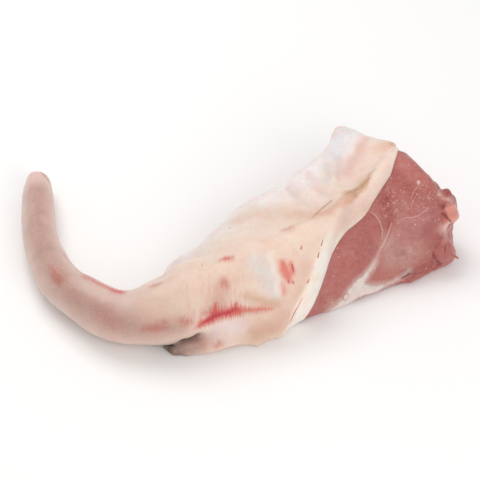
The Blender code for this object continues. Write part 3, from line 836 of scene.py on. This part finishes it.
def makeSkinMaterial():
    # scalded pig skin over fat: waxy and matt, light sinks in a few millimetres, the cut fat is whiter
    material, tree, shader = startMaterial(
        "scaldedPigSkin", Roughness=0.42, IOR=1.4, Coat_Weight=0.12, Coat_Roughness=0.25,
        Subsurface_Weight=0.85, Subsurface_Radius=(1.0, 0.45, 0.28), Subsurface_Scale=0.0025)
    place = readPlace(tree)
    tint = addNode(tree, "Attribute", output=1, attribute_name="tint")
    zones, marks = readLayer(tree, "zones"), readLayer(tree, "marks")
    wrinkled, dark = readLayer(tree, "wrinkled")[0], readLayer(tree, "crevice")[0]
    fine = addNode(tree, "TexNoise", {"Vector": place, "Scale": 0.7, "Detail": 4.0, "Roughness": 0.6})
    # mottling 9, 3 and 1.2 mm across
    color = mottle(tree, tint, place, [
        (9, 2.0, 0.48, 0.72, 0.2, "#dca999"),
        (3, 3.0, 0.5, 0.75, 0.2, "#d9a896"),
        (1.2, 3.0, 0.5, 0.75, 0.16, "#f1e2d3"),
    ])
    # wrinkles across the root of the tail, a millimetre wide: a noise drawn out across the tail
    drawnOut = addNode(tree, "Mapping", {"Vector": place, "Scale": (1, 0.07, 0.14)})
    strands = addNode(tree, "TexNoise", {"Vector": drawnOut, "Scale": 1.2, "Detail": 3.0})
    frayed = addNode(tree, "MapRange", {0: strands, 1: 0.3, 2: 0.7, 3: -1.0, 4: 1.0})
    # painted shade in the wrinkles' grooves, painted highlight on their crests
    for low, high, strength, shade in ((0.47, 0.3, 0.26, "#b8836f"), (0.55, 0.72, 0.24, "#f6e9dc")):
        share = addNode(tree, "MapRange", {0: strands, 1: low, 2: high, 4: strength})
        share = addNode(tree, "Math", {0: share, 1: wrinkled}, operation="MULTIPLY")
        color = addNode(tree, "Mix", {0: share, 6: color, 7: linear(shade)}, 2, data_type="RGBA")
    # hair roots: pale dots about 3 mm apart, half of them missing, fainter away from the wrinkles
    roots = addNode(tree, "TexVoronoi", {"Vector": place, "Scale": 0.33, "Randomness": 1.0}).node
    dot = addNode(tree, "MapRange", {0: roots.outputs["Distance"], 1: 0.18, 2: 0.06, 4: 1.0})
    chance = addNode(tree, "SeparateColor", {0: roots.outputs["Color"]})
    some = addNode(tree, "MapRange", {0: chance, 1: 0.5, 2: 0.6, 4: 0.6})
    there = addNode(tree, "MapRange", {0: wrinkled, 3: 0.25, 4: 1.0})
    dots = addNode(tree, "Math", {0: dot, 1: some}, operation="MULTIPLY")
    dots = addNode(tree, "Math", {0: dots, 1: there}, operation="MULTIPLY")
    color = addNode(tree, "Mix", {0: dots, 6: color, 7: linear("#f6ecd2")}, 2, data_type="RGBA")
    # red marks are drawn out along the wrinkles
    stain = readLayer(tree, "stain")[0]
    ragged = addNode(tree, "MapRange", {0: fine, 3: -2.2, 4: 2.2})
    soft = addNode(tree, "Math", {0: frayed, 1: ragged}, operation="ADD")
    grains = addNode(tree, "TexNoise", {"Vector": place, "Scale": 1.4, "Detail": 2.0})
    grains = addNode(tree, "MapRange", {0: grains, 1: 0.3, 2: 0.7, 3: -5.0, 4: 5.0})
    comb = addNode(tree, "MapRange", {0: wrinkled, 3: 0.5, 4: 1.3})
    rough = addNode(tree, "Math", {0: ragged, 1: 0.4}, operation="MULTIPLY")
    combed = addNode(tree, "Math", {0: frayed, 1: comb, 2: rough}, operation="MULTIPLY_ADD")
    color = layMarks(tree, color, [
        (marks[1], 0.6, 3.2, 0.6, "#bf6a5c", soft),
        (stain, 1.2, 2.6, 0.5, "#e39a86", combed),
        (stain, -0.2, 2.0, 0.65, "#dc5f4e", combed),
        (marks[0], 1.4, 2.6, 0.6, "#d9706a", combed),
        (marks[0], 0.0, 1.8, 0.75, "#cf4a4c", combed),
        (marks[0], -1.7, 1.5, 0.85, "#b82b36", combed),
        # brown dirt in the dirty hollow, and painted shade along the crease
        (marks[2], 0.4, 2.4, 0.4, "#cfa585", ragged),
        (marks[2], -2.6, 1.4, 0.4, "#b0825e", ragged),
        (marks[2], -4.0, 0.6, 0.5, "#8f6a4a", grains),
    ])
    # cut fat beyond the skin's edge and under the far rim, and bare meat on the underside
    fatTint = addNode(tree, "Attribute", output=1, attribute_name="fatTint")
    fatColor = mottle(tree, fatTint, place, [
        (8, 2.0, 0.45, 0.7, 0.35, "#eccbb9"),
        (2.2, 3.0, 0.5, 0.75, 0.3, "#f4ebe2"),
    ])
    rimDepth = addNode(tree, "Math", {0: zones[2], 1: -1.0}, operation="MULTIPLY")
    underDepth = addNode(tree, "Math", {0: zones[1], 1: -1.0}, operation="MULTIPLY")
    meatColor = mottle(tree, linear("#b2665f"), place, [
        (7, 3.0, 0.42, 0.65, 0.6, "#98504a"),
        (2.5, 3.0, 0.5, 0.75, 0.4, "#d9a99b"),
    ])
    color = layMarks(tree, color, [
        (zones[0], -0.6, 2.0, 1.0, fatColor, ragged),
        (rimDepth, -3.2, 0.8, 1.0, fatColor, None),
        (underDepth, 2.0, 1.0, 1.0, fatColor, ragged),
        (underDepth, -4.0, 1.5, 1.0, meatColor, ragged),
        # painted shade, dark red-brown, down the crevice between the tail and the near flap
        (dark, 1.8, 1.4, 0.92, "#4a2320", None),
        (strokeLength(tree, "redLine"), 1.0, 0.8, 0.8, "#c4493f", None),
        # brown lines, the one along the crease painted shade
        (strokeLength(tree, "brownLine"), 1.0, 0.9, 0.6, "#94705e", None),
    ])
    tree.links.new(color, shader.inputs["Base Color"])
    # relief: pores, hair roots and those wrinkles
    wrinkle = addNode(tree, "Math", {0: strands, 1: wrinkled}, operation="MULTIPLY")
    height = addNode(tree, "Math", {0: wrinkle, 1: 2.0, 2: fine}, operation="MULTIPLY_ADD")
    height = addNode(tree, "Math", {0: dots, 1: 0.5, 2: height}, operation="MULTIPLY_ADD")
    normal = addNode(tree, "Bump", {"Height": height, "Strength": 0.5, "Distance": 0.0004})
    tree.links.new(normal, shader.inputs["Normal"])
    return material


def makeLeanMaterial():
    # fresh raw muscle: moist and satin, with pale seams of connective tissue, and white specks that are
    # partly fat and partly painted glints
    material, tree, shader = startMaterial(
        "rawLeanPork", Roughness=0.4, IOR=1.4, Coat_Weight=0.2, Coat_Roughness=0.22,
        Subsurface_Weight=0.7, Subsurface_Radius=(1.0, 0.3, 0.22), Subsurface_Scale=0.002)
    place = readPlace(tree)
    tint = addNode(tree, "Attribute", output=1, attribute_name="tint")
    zones = readLayer(tree, "zones")
    # slow patches, bundles of fibre 4 mm and 1.5 mm across, then fine fibres drawn out along the muscle
    color = mottle(tree, tint, place, [
        (12, 2.0, 0.5, 0.7, 0.4, "#a2534e"),
        (7, 2.0, 0.52, 0.7, 0.3, "#c68f85"),
        (4, 3.0, 0.5, 0.75, 0.4, "#9a4844"),
        (1.5, 4.0, 0.52, 0.8, 0.18, "#d3a094"),
    ])
    turned = {"Vector": place, "Rotation": (0.5, 0.4, 0.7), "Scale": (0.12, 0.9, 0.9)}
    fibreRun = addNode(tree, "Mapping", turned)
    color = mottle(tree, color, fibreRun, [
        (1, 2.0, 0.55, 0.75, 0.14, "#d6a297"),
        (1.6, 2.0, 0.55, 0.75, 0.2, "#944540"),
    ])
    # gristle and membrane at the cut end keep more of their washes, painted highlights and shade among them
    calm = addNode(tree, "Attribute", output=2, attribute_name="calm")
    color = addNode(tree, "Mix", {0: calm, 6: color, 7: tint}, 2, data_type="RGBA")
    # thin broken pale lines where a slow noise crosses its middle, in the marbled part
    web = addNode(tree, "TexNoise", {"Vector": place, "Scale": 0.3, "Detail": 3.0})
    middle = addNode(tree, "Math", {0: web, 1: 0.5}, operation="SUBTRACT")
    line = addNode(tree, "Math", {0: middle}, operation="ABSOLUTE")
    marbling = addNode(tree, "Math", {0: zones[1], 1: -0.016, 2: line}, operation="MULTIPLY_ADD")
    broken = addNode(tree, "TexNoise", {"Vector": place, "Scale": 0.55, "Detail": 2.0})
    broken = addNode(tree, "MapRange", {0: broken, 1: 0.47, 2: 0.6, 4: 0.02})
    # white specks under a millimetre wide, in every second cell of 4 mm: partly fat, partly painted glints
    cells = addNode(tree, "TexVoronoi", {"Vector": place, "Scale": 0.26, "Randomness": 1.0}).node
    chance = addNode(tree, "SeparateColor", {0: cells.outputs["Color"]})
    few = addNode(tree, "Math", {0: chance, 1: 0.5}, operation="GREATER_THAN")
    speck = addNode(tree, "Math", {0: few, 1: cells.outputs["Distance"]}, operation="ADD")
    bend = addNode(tree, "TexNoise", {"Vector": place, "Scale": 0.35, "Detail": 3.0})
    bend = addNode(tree, "MapRange", {0: bend, 3: -1.0, 4: 1.0})
    fatColor = mottle(tree, linear(leanForm["fatColor"]), place, [
        (5, 2.0, 0.45, 0.7, 0.5, "#d8beb2"),
        (1.5, 3.0, 0.5, 0.75, 0.4, "#f6f0ec"),
    ])
    color = layMarks(tree, color, [
        (marbling, 0.0, 0.007, 0.65, "#e2bfb3", broken),
        (speck, 0.1, 0.05, 0.6, "#f0ddd2", None),
        (strokeLength(tree, "paleLine"), 0.9, 1.0, 0.5, "#dfbdb0", None),
        (zones[0], 2.0, 2.4, 0.4, fatColor, bend),
        (zones[0], -0.3, 1.2, 0.95, fatColor, bend),
        (zones[2], 0.5, 0.5, 0.6, "#b58d72", None),
        # painted shade in those slits, creases and gaps
        (strokeLength(tree, "darkLine"), 0.9, 0.9, 0.8, "#82302d", None),
    ])
    tree.links.new(color, shader.inputs["Base Color"])
    grain = addNode(tree, "TexNoise", {"Vector": fibreRun, "Scale": 1.2, "Detail": 4.0})
    normal = addNode(tree, "Bump", {"Height": grain, "Strength": 0.5, "Distance": 0.0005})
    tree.links.new(normal, shader.inputs["Normal"])
    return material


# the pieces

def finishPiece(piece, material, triangles):
    made = sum(len(face.vertices) - 2 for face in piece.data.polygons)
    if made > triangles:
        applyModifier(piece, "DECIMATE", ratio=triangles / made)
    piece.data.materials.clear()
    piece.data.materials.append(material)
    pickOnly(piece)
    bpy.ops.object.shade_smooth_by_angle(angle=math.radians(60))
    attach(piece, "root")
    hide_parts("pork_tail")
    print(piece.name + ":", sum(len(face.vertices) - 2 for face in piece.data.polygons), "triangles")


form = makeForm()
boundary = layOn(form, fatToLean, 4)

skin = copyOf(form, "skinAndFat")
startEdit(skin)
bpy.ops.mesh.bisect(plane_co=[v * mm for v in leanCut["place"]], plane_no=leanCut["facing"],
                    use_fill=True, clear_outer=True)
endEdit()
dressSkin(skin, boundary)
finishPiece(skin, makeSkinMaterial(), skinForm["triangles"])

lean = copyOf(form, "lean")
tuckLean(lean, boundary)
block = makeBlock("keptSkin", keptSkin)
applyModifier(lean, "BOOLEAN", operation="DIFFERENCE", object=block, solver="MANIFOLD")
bpy.data.objects.remove(block)
extras = [makeLump(name, *shape, 30 + 3 * number) for number, (name, shape) in enumerate(lumps.items())]
extras.append(makeTag("tag", (134, -5.5, 15.5), (141, -6.6, 11.2), 1.7))
pickOnly(lean, *extras)
bpy.ops.object.join()
applyModifier(lean, "REMESH", mode="VOXEL", voxel_size=leanForm["grid"] * mm)
applyModifier(lean, "SMOOTH", factor=0.5, iterations=4)
dressLean(lean)
finishPiece(lean, makeLeanMaterial(), leanForm["triangles"])

bpy.data.objects.remove(form)


# table, light and camera

studio = {
    "aim": (1.69, 20.42, 0.86),    # the place in the middle of the picture
    "elevation": 45,
    "distance": 1300,
    "lens": 150,
    "table": "#faf9f8",
    "sky": 0.62,
    "key": 6,                 # watts, behind on the left
    "fill": 4.5,              # watts, in front on the right
    "lampWidth": 900,
}


def addLight(name, place, power):  # a round lamp that shines at the middle of the table
    bpy.ops.object.light_add(type="AREA", location=[v * mm for v in place])
    light = bpy.context.object
    light.name = name
    light.data.shape = "DISK"
    light.data.size = studio["lampWidth"] * mm
    light.data.energy = power
    light.rotation_euler = (-Vector(place)).to_track_quat("-Z", "Y").to_euler()


def stageScene():
    bpy.ops.mesh.primitive_plane_add(size=12, location=(0, 0, -0.0004))
    table = bpy.context.object
    table.name = "table"
    material, tree, shader = startMaterial("whitePaintedBoard", Roughness=0.6)
    shader.inputs["Base Color"].default_value = linear(studio["table"])
    table.data.materials.append(material)
    world = bpy.data.worlds.new("softWhiteRoom")
    bpy.context.scene.world = world
    world.use_nodes = True
    world.node_tree.nodes["Background"].inputs["Color"].default_value = (1, 1, 1, 1)
    world.node_tree.nodes["Background"].inputs["Strength"].default_value = studio["sky"]
    addLight("key", (-350, 500, 1100), studio["key"])
    addLight("fill", (500, -900, 700), studio["fill"])
    tilt = math.radians(studio["elevation"])
    aim = Vector(studio["aim"]) * mm
    place = aim + Vector((0, -math.cos(tilt), math.sin(tilt))) * studio["distance"] * mm
    bpy.ops.object.camera_add(location=place, rotation=(math.pi / 2 - tilt, 0, 0))
    camera = bpy.context.object
    camera.data.lens = studio["lens"]
    camera.data.sensor_width = 36
    camera.data.clip_start = 0.05
    bpy.context.scene.camera = camera
    bpy.context.scene.view_settings.view_transform = "Standard"


stageScene()
print("staged")
